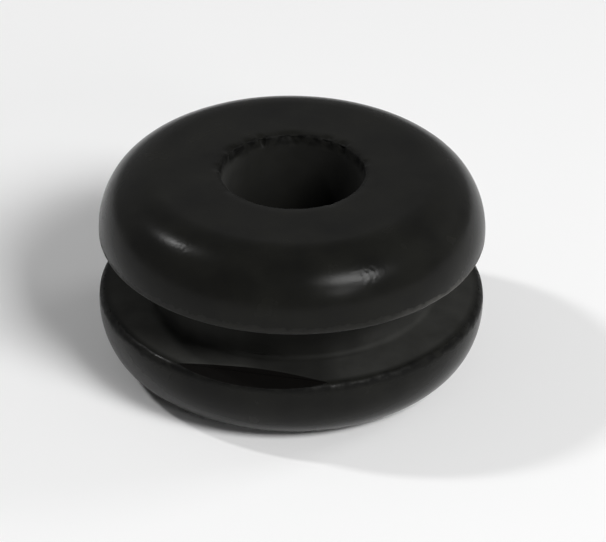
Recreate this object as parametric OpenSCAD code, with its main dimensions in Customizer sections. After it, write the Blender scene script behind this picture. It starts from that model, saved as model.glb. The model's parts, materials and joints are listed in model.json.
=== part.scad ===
// Rubber grommet: one moulding with a bore for a cable or a bolt, two round
// flanges, and a groove between them that holds the edge of a panel.
// The origin is the middle of the base, and +Z runs up the bore.

/* [Body] */
// Diameter over the flanges
body_d = 22; // [20:0.5:30]
// Height over both flanges
body_h = 11.9; // [9.5:0.1:16]

/* [Bore] */
// Diameter of the bore
bore_d = 8; // [4:0.5:11]
// Rounding of the bore's two mouths
mouth_r = 0.2; // [0.1:0.05:0.6]

/* [Groove] */
// Diameter of the groove's floor, which fills the hole in the panel
groove_d = 16.5; // [14:0.5:18]
// Width of the groove at its floor, which takes the thickness of the panel
groove_w = 2.95; // [1.5:0.05:4]
// Height of the groove's middle above the middle of the body
groove_rise = 0.12; // [0:0.02:0.4]
// Slope of the groove's two faces in degrees, which widens it outwards
groove_slope = 3.5; // [0:0.5:6]
// Rounding of the two corners at the groove's floor
root_r = 0.3; // [0.1:0.05:0.6]
// Rounding of the groove's two lips
lip_r = 0.4; // [0.2:0.05:0.6]

/* [Rims] */
// Radius of the side of each flange
side_r = 4.2; // [3.5:0.1:5]
// Radius of the shoulder that leads from the side to the flat end
shoulder_r = 3.1; // [2:0.1:3.4]
// Angle in degrees that the side turns through before its shoulder starts
side_turn = 27.5; // [15:0.5:40]

/* [Trimmed edge] */
// Direction of the trimmed place on the lower flange, in degrees from +X
trim_turn = 258; // [0:1:359]
// Width of the trimmed flat at its middle, from the groove's face to the rim
trim_w = 1.9; // [0.8:0.05:2.2]
// Slope of the trimmed flat in degrees, downwards and outwards
trim_tilt = 11; // [6:0.5:14]

/* [Hidden] */
$fn = 180;

body_r = body_d / 2;
bore_r = bore_d / 2;
groove_r = groove_d / 2;
half_h = body_h / 2;

// The profile is drawn in two halves, each with its distance from the axis and
// its height from mid-height. A flange's side and shoulder are arcs that meet
// in one tangent, so the shoulder's centre lies on the side's own radius.
shoulder_rise = (side_r - shoulder_r) * sin(side_turn);
side_at = [body_r - side_r, half_h - shoulder_r - shoulder_rise];
shoulder_at = side_at + (side_r - shoulder_r) * [cos(side_turn), sin(side_turn)];

// Height of the groove's floor corners from mid-height, above and below it
face_up = groove_w / 2 + groove_rise;
face_down = groove_w / 2 - groove_rise;

// Directions out along a groove face, and from that face into its flange
out_dir = [cos(groove_slope), sin(groove_slope)];
in_dir = [-sin(groove_slope), cos(groove_slope)];

// A lip's round touches the groove face and the flange's side from within, so
// its centre lies lip_r above the face and side_r - lip_r from the side's centre
function lip_at(face_y) =
    let (
        start = [groove_r, face_y] + lip_r * in_dir,
        gap = start - side_at,
        along = gap * out_dir,
        reach = (side_r - lip_r) ^ 2 - gap * gap + along ^ 2
    )
    start + (sqrt(reach) - along) * out_dir;

// Slice of a disc between two angles less than half a turn apart
module slice(at, r, low, high) {
    far = r / cos((high - low) / 4);
    intersection() {
        translate(at) circle(r);
        polygon([
            at,
            at + far * [cos(low), sin(low)],
            at + far * [cos((low + high) / 2), sin((low + high) / 2)],
            at + far * [cos(high), sin(high)]
        ]);
    }
}

// What lies between a sharp corner and its rounding. The corner's two sides
// leave it in the directions low and high.
module corner_waste(at, low, high, r) {
    half = (high - low) / 2;
    run = r / tan(half);
    centre = at + r / sin(half) * [cos(low + half), sin(low + half)];
    difference() {
        polygon([
            at,
            at + run * [cos(low), sin(low)],
            centre,
            at + run * [cos(high), sin(high)]
        ]);
        translate(centre) circle(r);
    }
}

// Half of the body with no groove, from mid-height up to the flat end
module blank() {
    intersection() {
        translate([bore_r, 0]) square([body_r - bore_r, half_h]);
        union() {
            square([shoulder_at.x, half_h]);
            slice(shoulder_at, shoulder_r, side_turn, 90);
            slice(side_at, side_r, -80, side_turn);
        }
    }
}

// Half of the groove, from mid-height to the face that starts at face_y, with
// round corners at the floor. It leaves the lip's round standing.
module groove(face_y) {
    lip = lip_at(face_y);
    lip_dir = (lip - side_at) / norm(lip - side_at);
    exit = lip + 2 * lip_r * lip_dir;
    difference() {
        polygon([
            [groove_r, 0],
            [groove_r, face_y],
            lip - lip_r * in_dir,
            lip,
            exit,
            [body_d, exit.y],
            [body_d, 0]
        ]);
        translate(lip) circle(lip_r);
        corner_waste([groove_r, face_y], -90, groove_slope, root_r);
    }
}

// One flange with its half of the neck, from mid-height outwards
module flange(face_y) {
    difference() {
        blank();
        groove(face_y);
        corner_waste([bore_r, half_h], -90, 0, mouth_r);
    }
}

// The slice that a knife took off the lower flange's lip with the moulding's
// flash. The slab lies in the groove, on the plane of the cut.
module trim_cut() {
    inside = 1;
    trim_start = body_r - trim_w;
    start_drop = (trim_start - groove_r) * tan(groove_slope);
    start_z = half_h - face_down - start_drop;
    rotate(trim_turn)
        translate([trim_start, 0, start_z])
            rotate([0, trim_tilt, 0])
                translate([-inside, -body_r, 0])
                    cube([body_r, body_d, groove_w / 2]);
}

module grommet() {
    color("#1d1c1b")
        difference() {
            translate([0, 0, half_h])
                rotate_extrude() {
                    flange(face_up);
                    mirror([0, 1]) flange(face_down);
                }
            trim_cut();
        }
}

grommet();
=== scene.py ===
# Rubber grommet: one moulding with a bore, two round flanges and a panel groove.
# Metres, +Z up the bore, origin at the middle of the base.
import json
import math

import bmesh
import bpy
from mathutils import Matrix, Vector


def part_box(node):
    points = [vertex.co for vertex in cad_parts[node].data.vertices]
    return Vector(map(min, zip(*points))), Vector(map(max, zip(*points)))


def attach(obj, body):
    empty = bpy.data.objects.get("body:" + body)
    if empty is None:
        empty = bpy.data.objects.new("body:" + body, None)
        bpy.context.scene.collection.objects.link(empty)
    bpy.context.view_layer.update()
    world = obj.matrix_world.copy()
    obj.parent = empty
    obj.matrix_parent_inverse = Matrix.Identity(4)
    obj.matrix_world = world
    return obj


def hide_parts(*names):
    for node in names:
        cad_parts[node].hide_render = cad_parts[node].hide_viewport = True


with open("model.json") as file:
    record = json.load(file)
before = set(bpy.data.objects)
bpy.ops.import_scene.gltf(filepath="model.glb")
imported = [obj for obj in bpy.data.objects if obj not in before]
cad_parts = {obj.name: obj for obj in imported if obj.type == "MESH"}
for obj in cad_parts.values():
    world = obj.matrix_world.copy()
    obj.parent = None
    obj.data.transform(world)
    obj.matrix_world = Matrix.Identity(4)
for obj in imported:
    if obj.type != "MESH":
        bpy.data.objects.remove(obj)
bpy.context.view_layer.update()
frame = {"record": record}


# ---- Grommet ----------------------------------------------------------------
# One piece of black rubber, pressed and cured in a steel mould with a pin through
# the middle. It is pulled off the pin, and a knife trims its flash. Its groove
# holds it in a panel's hole.
MM = 0.001

# Its section. Each flange is rounded over in one sweep from the groove's lip to
# the flat end, so that its outline is three tangent arcs.
TURN_STEPS = 400  # Facets round the bore, fine enough for the smallest nick.

box_low, box_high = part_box("grommet")
half_h = (box_high.z - box_low.z) / 2
body_r = min(box_high.x - box_low.x, box_high.y - box_low.y) / 2
mounts = {mount["name"]: mount for mount in frame["record"]["mounts"]}
bore_r = mounts["bore"]["dims"]["r_mm"] * MM
mouth_r = half_h - mounts["bore"]["dims"]["length_mm"] * MM / 2
groove_rise = mounts["panel_groove"]["pos_m"][2] - half_h
groove_r = 8.25 * MM
groove_w = 2.95 * MM
groove_slope = math.radians(3.5)
root_r = 0.3 * MM
lip_r = 0.4 * MM
side_r = 4.2 * MM
shoulder_r = 3.1 * MM
side_turn = math.radians(27.5)
torn_depth = 0.8 * MM  # How far down the bore the rings are close, for its torn mouth.
weld = mouth_r / 100  # Points nearer to each other than this are one.


def polar(length, angle):
    """A point or direction in the section, across and up."""
    return Vector((length * math.cos(angle), length * math.sin(angle)))


def edit(piece):
    """Opens one piece alone in edit mode, with nothing selected."""
    bpy.ops.object.select_all(action="DESELECT")
    piece.select_set(True)
    bpy.context.view_layer.objects.active = piece
    bpy.ops.object.mode_set(mode="EDIT")
    bpy.ops.mesh.select_all(action="DESELECT")


def pick(kind, test):
    """Selects the open piece's verts, edges or faces that pass a test, and no others."""
    bpy.ops.mesh.select_mode(type=kind)
    bpy.ops.mesh.select_all(action="DESELECT")
    mesh = bmesh.from_edit_mesh(bpy.context.object.data)
    items = {"VERT": mesh.verts, "EDGE": mesh.edges, "FACE": mesh.faces}[kind]
    for item in items:
        item.select_set(test(item))
    mesh.select_flush_mode()
    bmesh.update_edit_mesh(bpy.context.object.data)


def draw_line(step, pieces):
    """Extrudes the outline's end along a straight step, in equal pieces."""
    part = (step[0] / pieces, 0, step[1] / pieces)
    for _ in range(pieces):
        bpy.ops.mesh.extrude_region_move(TRANSFORM_OT_translate={"value": part})


def draw_arc(centre, turn, pieces):
    """Spins the outline's end about a centre, anticlockwise where turn is positive."""
    place = (centre[0], 0, half_h + centre[1])
    bpy.ops.mesh.spin(steps=pieces, angle=turn, center=place, axis=(0, 1, 0))


def draw_flange(face_up, side):
    """Draws one flange's outline from the groove's floor to the bore's middle.

    side is 1 for the upper flange and -1 for the lower, which is its mirror image.
    """
    side_at = Vector((body_r - side_r, half_h - shoulder_r))
    side_at.y -= (side_r - shoulder_r) * math.sin(side_turn)
    shoulder_at = side_at + polar(side_r - shoulder_r, side_turn)

    out = polar(1, groove_slope)
    inward = polar(1, groove_slope + math.pi / 2)
    start = Vector((groove_r, face_up)) + lip_r * inward
    gap = start - side_at
    along = gap.dot(out)
    reach = math.sqrt((side_r - lip_r) ** 2 - gap.length_squared + along**2)
    lip_at = start + (reach - along) * out
    lip_turn = (lip_at - side_at).angle_signed(Vector((1, 0)))

    root_turn = math.pi / 2 - groove_slope
    root_at = Vector((groove_r + root_r, face_up - root_r * math.tan(root_turn / 2)))
    face = lip_at - root_at - (lip_r + root_r) * inward
    mouth_at = Vector((bore_r + mouth_r, half_h - mouth_r))

    def turned(point):
        return (point[0], side * point[1])

    # Each line or arc ends with its number of pieces, most where it bends or is torn.
    draw_line((0, side * root_at.y), 6)
    draw_arc(turned(root_at), -side * root_turn, 6)
    draw_line(turned(face), 10)
    draw_arc(turned(lip_at), side * (math.pi / 2 + lip_turn - groove_slope), 10)
    draw_arc(turned(side_at), side * (side_turn - lip_turn), 20)
    draw_arc(turned(shoulder_at), side * (math.pi / 2 - side_turn), 24)
    draw_line((mouth_at.x - shoulder_at.x, 0), 18)
    draw_arc(turned(mouth_at), side * math.pi / 2, 6)
    draw_line((0, -side * torn_depth), 10)
    draw_line((0, -side * (mouth_at.y - torn_depth)), 8)


bpy.ops.object.select_all(action="DESELECT")
bpy.ops.mesh.primitive_plane_add(size=MM, location=(groove_r, 0, half_h))
moulding = bpy.context.object
moulding.name = "grommet_moulding"
bpy.ops.object.transform_apply(location=True, rotation=True, scale=True)
edit(moulding)
bpy.ops.mesh.select_all(action="SELECT")
bpy.ops.mesh.merge(type="CENTER")
draw_flange(groove_w / 2 + groove_rise, 1)
floor_middle = Vector((groove_r, 0, half_h))
pick("VERT", lambda v: (v.co - floor_middle).length < weld)
draw_flange(groove_w / 2 - groove_rise, -1)
bpy.ops.mesh.select_all(action="SELECT")
bpy.ops.mesh.remove_doubles(threshold=weld)
bpy.ops.mesh.spin(steps=TURN_STEPS, angle=math.tau, center=(0, 0, 0), axis=(0, 0, 1))
bpy.ops.mesh.select_all(action="SELECT")
bpy.ops.mesh.remove_doubles(threshold=weld)
bpy.ops.mesh.normals_make_consistent(inside=False)
bpy.ops.object.mode_set(mode="OBJECT")


# Its uneven surface. Pressed rubber shrinks a little unevenly as it cools. The bore
# was torn off the pin, so its mouth is ragged, and the lips are nicked where they
# left the mould.
BETWEEN_NICKS = 0.25  # Weight of a ring's places that no nick is at.


def sink(name, weigh, depth, grain):
    """Sinks the moulding into itself by up to a depth, where weigh(place) is above 0.

    grain is the size of the humps in between.
    """
    group = moulding.vertex_groups.new(name=name)
    for vertex in moulding.data.vertices:
        weight = weigh(vertex.co)
        if weight > 0:
            group.add([vertex.index], min(weight, 1), "REPLACE")
    bpy.context.view_layer.objects.active = moulding
    dent = moulding.modifiers.new(name, "DISPLACE")
    dent.vertex_group = name
    dent.texture = bpy.data.textures.new(name, "CLOUDS")
    dent.texture.noise_basis = "IMPROVED_PERLIN"
    dent.texture.noise_scale = grain
    dent.texture.contrast = 0.6  # Below 1, so that no hump is cut flat.
    dent.mid_level = 1
    dent.strength = depth
    bpy.ops.object.modifier_apply(modifier=name)
    moulding.vertex_groups.remove(moulding.vertex_groups[name])


def round_place(radius, turn, z):
    """A point at a radius and a direction in degrees about the bore."""
    angle = math.radians(turn)
    return Vector((radius * math.cos(angle), radius * math.sin(angle), z))


def near_ring(radius, z, reach, nicks):
    """Weighs places near a ring about the bore, least between its nicks.

    Each nick is its direction and half its width, in degrees, and its weight.
    """

    def weigh(place):
        away = math.hypot(place.xy.length - radius, place.z - z) / reach
        if away >= 1:
            return 0
        turn = math.degrees(math.atan2(place.y, place.x))
        most = BETWEEN_NICKS
        for nick_turn, spread, weight in nicks:
            aside = ((turn - nick_turn + 180) % 360 - 180) / spread
            most = max(most, weight * (1 - aside**2))
        return (1 - away) * most

    return weigh


top = 2 * half_h
lip_rise = groove_w / 2 + 0.2 * MM
mouth_nicks = (
    (176, 8, 0.8),
    (146, 9, 1.0),
    (128, 5, 0.7),
    (116, 4, 1.0),
    (92, 14, 0.8),
    (62, 6, 0.9),
    (47, 5, 1.0),
    (14, 6, 0.6),
    (301, 6, 0.5),
    (214, 8, 0.5),
)
upper_nicks = ((304, 6, 0.6), (318, 7, 0.7), (337, 8, 0.6), (120, 8, 0.5), (200, 8, 0.4))
lower_nicks = (
    (298, 3, 1.0),
    (305, 2, 0.6),
    (314, 3, 1.0),
    (323, 2, 0.6),
    (331, 2, 1.0),
    (340, 3, 0.9),
    (220, 3, 0.7),
    (203, 2, 0.6),
    (122, 3, 0.8),
    (40, 3, 0.9),
)
# Each sink ends with its depth and the size of its humps. The base stays flat.
sink("cooling", lambda place: min(1, place.z / MM), 0.04 * MM, 3 * MM)
mouth = near_ring(bore_r - 0.1 * MM, top - 0.15 * MM, 0.6 * MM, mouth_nicks)
sink("torn_mouth", mouth, 0.55 * MM, 0.4 * MM)
upper_lip = near_ring(body_r, half_h + groove_rise + lip_rise, 0.3 * MM, upper_nicks)
sink("ragged_upper_lip", upper_lip, 0.2 * MM, 0.4 * MM)
lower_lip = near_ring(body_r, half_h + groove_rise - lip_rise, 0.4 * MM, lower_nicks)
sink("nicked_lower_lip", lower_lip, 0.25 * MM, 0.4 * MM)


# Its trimmed edge. Where the mould's halves met, flash stood up along the lower
# flange's lip. A knife took it off with a slice of the lip, which left a shallow
# flat with a thin raised burr round it.
trim_turn = math.radians(258)
trim_w = 1.9 * MM
trim_tilt = math.radians(11)
burr_w = 0.07 * MM
burr_h = 0.03 * MM
SAME_WAY = 0.9999  # Normals whose product is above this point the same way.
CREASE = math.radians(35)
trim_start = body_r - trim_w
trim_drop = (trim_start - groove_r) * math.tan(groove_slope)
trim_z = half_h - groove_w / 2 + groove_rise - trim_drop
trim_out = Vector((math.cos(trim_turn), math.sin(trim_turn), 0))
trim_at = trim_start * trim_out + Vector((0, 0, trim_z))
trim_normal = math.sin(trim_tilt) * trim_out + Vector((0, 0, math.cos(trim_tilt)))
trim_down = math.cos(trim_tilt) * trim_out - Vector((0, 0, math.sin(trim_tilt)))

knife_size = Vector((body_r, 2 * body_r, groove_w / 2))
knife_at = trim_at + (knife_size.x / 2 - MM) * trim_down + knife_size.z / 2 * trim_normal
bpy.ops.object.select_all(action="DESELECT")
bpy.ops.mesh.primitive_cube_add(
    size=1, location=knife_at, rotation=(0, trim_tilt, trim_turn), scale=knife_size
)
knife = bpy.context.object
bpy.context.view_layer.objects.active = moulding
trim = moulding.modifiers.new("trim", "BOOLEAN")
trim.operation = "DIFFERENCE"
trim.solver = "EXACT"
trim.object = knife
bpy.ops.object.modifier_apply(modifier=trim.name)
bpy.data.objects.remove(knife)


def cut_in_plane_of(origin):
    """A test for the faces that the knife left in the plane through a point."""

    def test(face):
        level = (face.calc_center_median() - origin).dot(trim_normal)
        return abs(level) < burr_h / 10 and face.normal.dot(trim_normal) > SAME_WAY

    return test


edit(moulding)
pick("FACE", cut_in_plane_of(trim_at))
bpy.ops.mesh.dissolve_faces()
bpy.ops.mesh.inset(thickness=burr_w, depth=-burr_h)
bpy.ops.object.mode_set(mode="OBJECT")
bpy.ops.object.shade_smooth_by_angle(angle=CREASE)
edit(moulding)
in_flat = cut_in_plane_of(trim_at - burr_h * trim_normal)
pick("FACE", in_flat)
bpy.ops.mesh.faces_shade_flat()
bpy.ops.object.mode_set(mode="OBJECT")

# Moulded rubber, cured against a fine steel mould. The skin is satin and nearly
# black, and a grey bloom lies in the groove and bore. Its spread there also
# carries painted light and shade: more of it where light falls on the bore's
# walls near the mouth, less where the groove lies in shade at the front and back.
def linear(hex_colour):
    """An sRGB colour such as "#1b1a19" as the linear values that a shader takes."""
    parts = [int(hex_colour[i : i + 2], 16) / 255 for i in (1, 3, 5)]
    return [p / 12.92 if p <= 0.04045 else ((p + 0.055) / 1.055) ** 2.4 for p in parts] + [1]


def add(tree, kind, inputs, **settings):
    """Adds a node with its settings, and gives it values or links by input."""
    made = tree.nodes.new("ShaderNode" + kind)
    for name, value in settings.items():
        setattr(made, name, value)
    for name, value in inputs.items():
        if isinstance(value, bpy.types.NodeSocket):
            tree.links.new(value, made.inputs[name])
        else:
            made.inputs[name].default_value = value
    return made


RUBBER_IOR = 1.5
RUBBER_SHINE = 0.08
# A dusting of bloom lightens the rims where they are seen edge-on.
DUST_SHEEN = 0.065
DUST_SPREAD = 0.4
MOTTLE_SIZE = 2.5 * MM  # Clouds where the cure and the handling differed.
BLOTCH_SIZE = 1.4 * MM  # Clots of bloom.
CHIP_SIZE = 0.5 * MM  # Nicks and scuffs along an edge.
GRIT_SIZE = 0.55 * MM  # Pits where it was dragged over grit.
GRAIN_SIZE = 0.2 * MM  # Of the mould. The real 0.05 mm would be too fine to show.
skin = bpy.data.materials.new("moulded_rubber")
skin.use_nodes = True
tree = skin.node_tree
place = add(tree, "TexCoord", {}).outputs["Object"]
axes = add(tree, "SeparateXYZ", {0: place}).outputs
level = add(tree, "CombineXYZ", {"X": axes["X"], "Y": axes["Y"]}).outputs[0]
radius = add(tree, "VectorMath", {0: level}, operation="LENGTH").outputs["Value"]

# The groove and the bore, each from its mouth inwards.
sunk = add(
    tree,
    "MapRange",
    {"Value": radius, "From Min": body_r - 0.3 * MM, "From Max": body_r - 0.7 * MM},
).outputs[0]
past_bore = add(
    tree,
    "MapRange",
    {"Value": radius, "From Min": groove_r - MM, "From Max": groove_r - 0.5 * MM},
).outputs[0]
sunk = add(tree, "Math", {0: sunk, 1: past_bore}, operation="MULTIPLY").outputs[0]
rise = add(
    tree, "Math", {0: axes["Z"], 1: half_h + groove_rise}, operation="SUBTRACT"
).outputs[0]
off = add(tree, "Math", {0: rise}, operation="ABSOLUTE").outputs[0]
between = add(
    tree,
    "MapRange",
    {"Value": off, "From Min": groove_w / 2 + 0.3 * MM, "From Max": groove_w / 2 + 0.15 * MM},
).outputs[0]
in_groove = add(tree, "Math", {0: sunk, 1: between}, operation="MULTIPLY").outputs[0]
in_bore = add(
    tree,
    "MapRange",
    {"Value": radius, "From Min": bore_r + mouth_r / 2, "From Max": bore_r},
).outputs[0]
hollow = add(tree, "Math", {0: in_groove, 1: in_bore}, operation="MAXIMUM").outputs[0]
# Painted shade: the bloom is halved on the groove's floor at the front and the
# back, where the upper flange shades it.
aside = add(tree, "Math", {0: axes["X"]}, operation="ABSOLUTE").outputs[0]
on_floor = add(
    tree,
    "MapRange",
    {"Value": radius, "From Min": groove_r + 0.4 * MM, "From Max": groove_r + 0.2 * MM},
).outputs[0]
front_and_back = add(
    tree, "MapRange", {"Value": aside, "From Min": 5 * MM, "From Max": 3.5 * MM}
).outputs[0]
shaded_floor = add(tree, "Math", {0: on_floor, 1: front_and_back}, operation="MULTIPLY").outputs[0]
painted_light_and_shade = add(tree, "MapRange", {"Value": shaded_floor, "To Min": 1, "To Max": 0.5}).outputs[0]
# Painted shade: it is thinner still, down to three tenths, right at the front and the back of the
# groove, where the groove lies in shade.
front_back_shade = add(
    tree,
    "MapRange",
    {"Value": aside, "From Min": 1.6 * MM, "From Max": 2.8 * MM, "To Min": 0.3},
).outputs[0]
painted_light_and_shade = add(tree, "Math", {0: painted_light_and_shade, 1: front_back_shade}, operation="MULTIPLY").outputs[0]
in_groove = add(tree, "Math", {0: in_groove, 1: painted_light_and_shade}, operation="MULTIPLY").outputs[0]
# Painted light: the bore keeps its bloom only near the mouth, most of all at the two sides, where
# light falls on its walls.
near_mouth = add(
    tree,
    "MapRange",
    {"Value": axes["Z"], "From Min": top - 5 * MM, "From Max": top - MM},
).outputs[0]
at_sides = add(
    tree,
    "MapRange",
    {"Value": aside, "From Min": 2.6 * MM, "From Max": 3.3 * MM, "To Min": 0.45},
).outputs[0]
painted_light_and_shade = add(tree, "Math", {0: near_mouth, 1: at_sides}, operation="MULTIPLY").outputs[0]
in_bore = add(tree, "Math", {0: in_bore, 1: painted_light_and_shade}, operation="MULTIPLY").outputs[0]
bloom_with_painted_light = add(tree, "Math", {0: in_groove, 1: in_bore}, operation="MAXIMUM").outputs[0]
blotches = add(
    tree, "TexNoise", {"Vector": place, "Scale": 1 / BLOTCH_SIZE, "Detail": 4}
).outputs[0]
thick = add(
    tree, "MapRange", {"Value": blotches, "From Min": 0.3, "From Max": 0.7, "To Min": 0.6}
).outputs[0]
bloom_with_painted_light = add(tree, "Math", {0: bloom_with_painted_light, 1: thick}, operation="MULTIPLY").outputs[0]

# The two lips. A line wanders along each: a painted highlight in light grey on
# the upper one, most of all on one side, and painted shade in dark patches on
# the lower one, as in its nicks.
lip_line = groove_w / 2 + 0.42 * MM
lip_wander = 0.7 * MM
chips = add(tree, "TexNoise", {"Vector": place, "Scale": 1 / CHIP_SIZE, "Detail": 3}).outputs[0]
wander = add(
    tree, "Math", {0: chips, 1: lip_wander, 2: -lip_wander / 2}, operation="MULTIPLY_ADD"
).outputs[0]
away = add(tree, "Math", {0: off, 1: lip_line}, operation="SUBTRACT").outputs[0]
away = add(tree, "Math", {0: away, 1: wander}, operation="ADD").outputs[0]
away = add(tree, "Math", {0: away}, operation="ABSOLUTE").outputs[0]
line = add(
    tree, "MapRange", {"Value": away, "From Min": 0.3 * MM, "From Max": 0.05 * MM}
).outputs[0]
outer = add(
    tree,
    "MapRange",
    {"Value": radius, "From Min": body_r - 0.5 * MM, "From Max": body_r - 0.3 * MM},
).outputs[0]
lips = add(tree, "Math", {0: line, 1: outer}, operation="MULTIPLY").outputs[0]
upper = add(tree, "MapRange", {"Value": rise, "From Min": -MM, "From Max": MM}).outputs[0]
# Painted highlight: the upper lip's line is brightest on the +X side, where light falls on it.
lit_side = add(
    tree,
    "MapRange",
    {"Value": axes["X"], "From Min": 5 * MM, "From Max": 10 * MM, "To Min": 0.12},
).outputs[0]
painted_lip_highlight = add(tree, "Math", {0: lips, 1: upper}, operation="MULTIPLY").outputs[0]
painted_lip_highlight = add(tree, "Math", {0: painted_lip_highlight, 1: lit_side}, operation="MULTIPLY").outputs[0]
lower = add(tree, "Math", {0: 1, 1: upper}, operation="SUBTRACT").outputs[0]
# Painted shade: dark patches along the lower lip, as in its nicks.
lower_lip_shade = add(tree, "Math", {0: lips, 1: lower}, operation="MULTIPLY").outputs[0]
patchy = add(
    tree, "MapRange", {"Value": chips, "From Min": 0.42, "From Max": 0.58, "To Min": 0.2}
).outputs[0]
lower_lip_shade = add(tree, "Math", {0: lower_lip_shade, 1: patchy}, operation="MULTIPLY").outputs[0]

# The torn mouth, which is ragged. Painted shade darkens it in patches, as in its nicks.
torn = add(
    tree,
    "MapRange",
    {"Value": radius, "From Min": bore_r + 0.35 * MM, "From Max": bore_r + 0.15 * MM},
).outputs[0]
at_mouth = add(
    tree,
    "MapRange",
    {"Value": axes["Z"], "From Min": top - 0.9 * MM, "From Max": top - 0.2 * MM},
).outputs[0]
torn = add(tree, "Math", {0: torn, 1: at_mouth}, operation="MULTIPLY").outputs[0]
painted_nick_shade = add(tree, "Math", {0: torn, 1: patchy}, operation="MULTIPLY").outputs[0]
painted_nick_shade = add(tree, "Math", {0: painted_nick_shade, 1: lower_lip_shade}, operation="MAXIMUM").outputs[0]

mottle = add(tree, "TexNoise", {"Vector": place, "Scale": 1 / MOTTLE_SIZE, "Detail": 5}).outputs[0]
colour = add(
    tree, "MixRGB", {"Fac": mottle, "Color1": linear("#0d0d0d"), "Color2": linear("#1e1e1b")}
).outputs[0]
# The grey bloom, with painted light in the bore and painted shade in the groove.
colour = add(
    tree, "MixRGB", {"Fac": bloom_with_painted_light, "Color1": colour, "Color2": linear("#323230")}
).outputs[0]
# Painted highlight along the upper lip.
colour = add(
    tree, "MixRGB", {"Fac": painted_lip_highlight, "Color1": colour, "Color2": linear("#4c4b48")}
).outputs[0]
# Painted shade in patches on the torn mouth and the lower lip.
colour = add(
    tree, "MixRGB", {"Fac": painted_nick_shade, "Color1": colour, "Color2": linear("#0b0b0a")}
).outputs[0]
satin = add(tree, "MapRange", {"Value": mottle, "To Min": 0.175, "To Max": 0.325}).outputs[0]
rough = add(tree, "Math", {0: hollow, 1: lips}, operation="MAXIMUM").outputs[0]
rough = add(tree, "Math", {0: rough, 1: torn}, operation="MAXIMUM").outputs[0]
dull = add(tree, "MapRange", {"Value": rough, "To Max": 0.4}).outputs[0]
roughness = add(tree, "Math", {0: satin, 1: dull}, operation="ADD").outputs[0]
grain = add(tree, "TexNoise", {"Vector": place, "Scale": 1 / GRAIN_SIZE, "Detail": 2}).outputs[0]
bump = add(tree, "Bump", {"Height": grain, "Strength": 0.25, "Distance": 0.01 * MM}).outputs[0]

# Two patches of small scuffs on the upper shoulder, from being dragged over grit.
large_at = round_place(body_r - 0.9 * MM, 294.5, top - 1.05 * MM)
small_at = round_place(body_r - 1.3 * MM, 232, top - 0.65 * MM)
large = add(tree, "VectorMath", {0: place, 1: large_at}, operation="DISTANCE").outputs["Value"]
small = add(tree, "VectorMath", {0: place, 1: small_at}, operation="DISTANCE").outputs["Value"]
small = add(tree, "Math", {0: small, 1: 0.4 * MM}, operation="ADD").outputs[0]
scuffs_far = add(tree, "Math", {0: large, 1: small}, operation="MINIMUM").outputs[0]
scuffs_in = add(
    tree, "MapRange", {"Value": scuffs_far, "From Min": 1.4 * MM, "From Max": 0.4 * MM}
).outputs[0]
grit = add(tree, "TexNoise", {"Vector": place, "Scale": 1 / GRIT_SIZE, "Detail": 1}).outputs[0]
pits = add(tree, "MapRange", {"Value": grit, "From Min": 0.64, "From Max": 0.44}).outputs[0]
pitted = add(tree, "Math", {0: pits, 1: scuffs_in}, operation="MULTIPLY").outputs[0]
bump = add(
    tree,
    "Bump",
    {"Height": pitted, "Strength": 0.4, "Distance": 0.02 * MM, "Normal": bump},
).outputs[0]
shader = tree.nodes["Principled BSDF"]
shader.inputs["IOR"].default_value = RUBBER_IOR
shader.inputs["Specular IOR Level"].default_value = RUBBER_SHINE
shader.inputs["Sheen Weight"].default_value = DUST_SHEEN
shader.inputs["Sheen Roughness"].default_value = DUST_SPREAD
tree.links.new(colour, shader.inputs["Base Color"])
tree.links.new(roughness, shader.inputs["Roughness"])
tree.links.new(bump, shader.inputs["Normal"])
moulding.data.materials.append(skin)

# Cut rubber, which the knife bared. It has no bloom, so it is the darkest place,
# and the blade's drag shows as fine lines along the cut.
DRAG_SIZE = 1.5 * MM  # Length of the blade's lines.
DRAG_FINENESS = 8  # How many times narrower than long they are.
fresh = bpy.data.materials.new("knife_cut_rubber")
fresh.use_nodes = True
tree = fresh.node_tree
place = add(tree, "TexCoord", {}).outputs["Object"]
stretch = (DRAG_FINENESS, 1, DRAG_FINENESS)
along = add(
    tree, "Mapping", {"Vector": place, "Rotation": (0, 0, -trim_turn), "Scale": stretch}
).outputs[0]
drag = add(tree, "TexNoise", {"Vector": along, "Scale": 1 / DRAG_SIZE, "Detail": 3}).outputs[0]
shader = tree.nodes["Principled BSDF"]
shader.inputs["Base Color"].default_value = linear("#0e0d0c")
shader.inputs["IOR"].default_value = RUBBER_IOR
shader.inputs["Specular IOR Level"].default_value = RUBBER_SHINE
roughness = add(tree, "MapRange", {"Value": drag, "To Min": 0.3, "To Max": 0.6}).outputs[0]
bump = add(tree, "Bump", {"Height": drag, "Strength": 0.3, "Distance": 0.02 * MM}).outputs[0]
tree.links.new(roughness, shader.inputs["Roughness"])
tree.links.new(bump, shader.inputs["Normal"])
moulding.data.materials.append(fresh)
edit(moulding)
pick("FACE", in_flat)
moulding.active_material_index = 1
bpy.ops.object.material_slot_assign()
bpy.ops.object.mode_set(mode="OBJECT")
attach(moulding, "root")
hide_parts("grommet")


# ---- Floor ------------------------------------------------------------------
# A wide sheet of matt white paper, laid flat. Nothing fixes the grommet to it: it
# stands there on its base.
PAPER_WIDTH = 4
bpy.ops.object.select_all(action="DESELECT")
bpy.ops.mesh.primitive_plane_add(size=PAPER_WIDTH, location=(0, 0, 0))
floor = bpy.context.object
floor.name = "floor"
paper = bpy.data.materials.new("white_paper")
paper.use_nodes = True
shader = paper.node_tree.nodes["Principled BSDF"]
shader.inputs["Base Color"].default_value = linear("#f6f6f6")
shader.inputs["Roughness"].default_value = 0.9
floor.data.materials.append(paper)


# ---- Light ------------------------------------------------------------------
# A softbox at the right and a small one behind at the left draw the two
# highlights, and a low card lights the rims from in front. The two fills only
# lighten the shadows, as white walls do, and have no reflection.
LAMP_DISTANCE = 0.6


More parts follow.
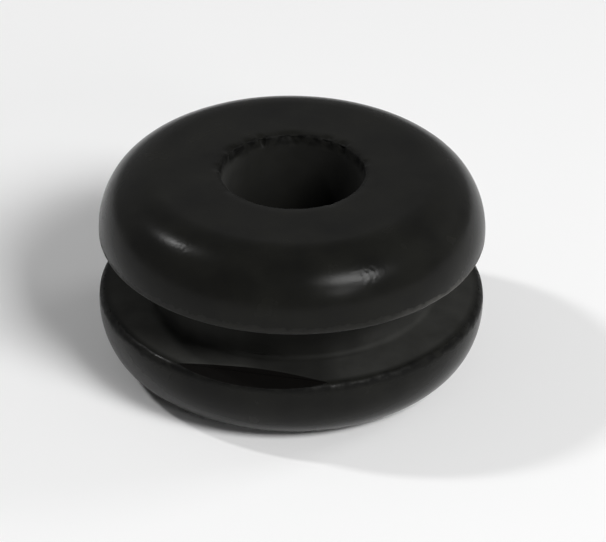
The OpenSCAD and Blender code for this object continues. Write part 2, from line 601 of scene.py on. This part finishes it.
def softbox(name, azimuth, elevation, width, height, radiance, glossy=True, roll=0):
    """A lamp that faces the grommet. A radiance of 1 is the white of lit paper."""
    az, el = math.radians(azimuth), math.radians(elevation)
    away = Vector((math.cos(el) * math.cos(az), math.cos(el) * math.sin(az), math.sin(el)))
    data = bpy.data.lights.new(name, "AREA")
    data.shape = "RECTANGLE"
    data.size = width
    data.size_y = height
    data.energy = radiance * math.pi * width * height
    lamp = bpy.data.objects.new(name, data)
    bpy.context.scene.collection.objects.link(lamp)
    lamp.location = away * LAMP_DISTANCE + Vector((0, 0, half_h))
    tilt = Matrix.Rotation(math.radians(roll), 3, "Z")
    lamp.rotation_euler = (away.to_track_quat("Z", "Y").to_matrix() @ tilt).to_euler()
    lamp.visible_glossy = glossy
    lamp.visible_camera = False


softbox("key", -47.5, 40.5, 0.245, 0.16, 26.5, roll=-35)
softbox("kicker", 165, 48, 0.038, 0.066, 120)
softbox("low_card", -60, 22, 0.12, 0.10, 9)
softbox("side_fill", 24, 26, 0.20, 0.25, 4, glossy=False)
softbox("top_fill", -90, 80, 0.80, 0.80, 0.2, glossy=False)

# The studio's walls glow most a third of the way up, and least behind the camera.
world = bpy.data.worlds.new("studio")
world.use_nodes = True
tree = world.node_tree
facing = add(tree, "SeparateXYZ", {0: add(tree, "TexCoord", {}).outputs["Generated"]}).outputs
walls = add(tree, "ValToRGB", {"Fac": facing["Z"]})
for stop, glow in ((0.0, 0.08), (0.5, 0.26), (0.85, 0.02)):
    point = walls.color_ramp.elements.new(stop)
    point.color = (glow, glow, glow, 1)
walls.color_ramp.elements.remove(walls.color_ramp.elements[0])
walls.color_ramp.elements.remove(walls.color_ramp.elements[-1])
backward = add(
    tree, "MapRange", {"Value": facing["Y"], "From Min": -0.5, "From Max": 0.3, "To Min": 0.15}
).outputs[0]
background = tree.nodes["Background"]
tree.links.new(walls.outputs[0], background.inputs["Color"])
tree.links.new(backward, background.inputs["Strength"])
bpy.context.scene.world = world
bpy.context.scene.view_settings.view_transform = "Standard"


# ---- Camera -----------------------------------------------------------------
# A long lens at the grommet's front, which looks down on it at a third of a right
# angle and is turned a touch about its own axis.
view_down = math.radians(31.411)
view_roll = math.radians(0.656)
view_far = 283.5 * MM
view_from = Vector((0, -view_far * math.cos(view_down), half_h + view_far * math.sin(view_down)))
bpy.ops.object.camera_add()
camera = bpy.context.object
tilt = Matrix.Rotation(math.pi / 2 - view_down, 4, "X")
camera.matrix_world = Matrix.Translation(view_from) @ tilt @ Matrix.Rotation(view_roll, 4, "Z")
camera.data.sensor_width = 36
camera.data.lens = 295.4
camera.data.shift_x = 0.0187
camera.data.shift_y = -0.0175
bpy.context.scene.camera = camera
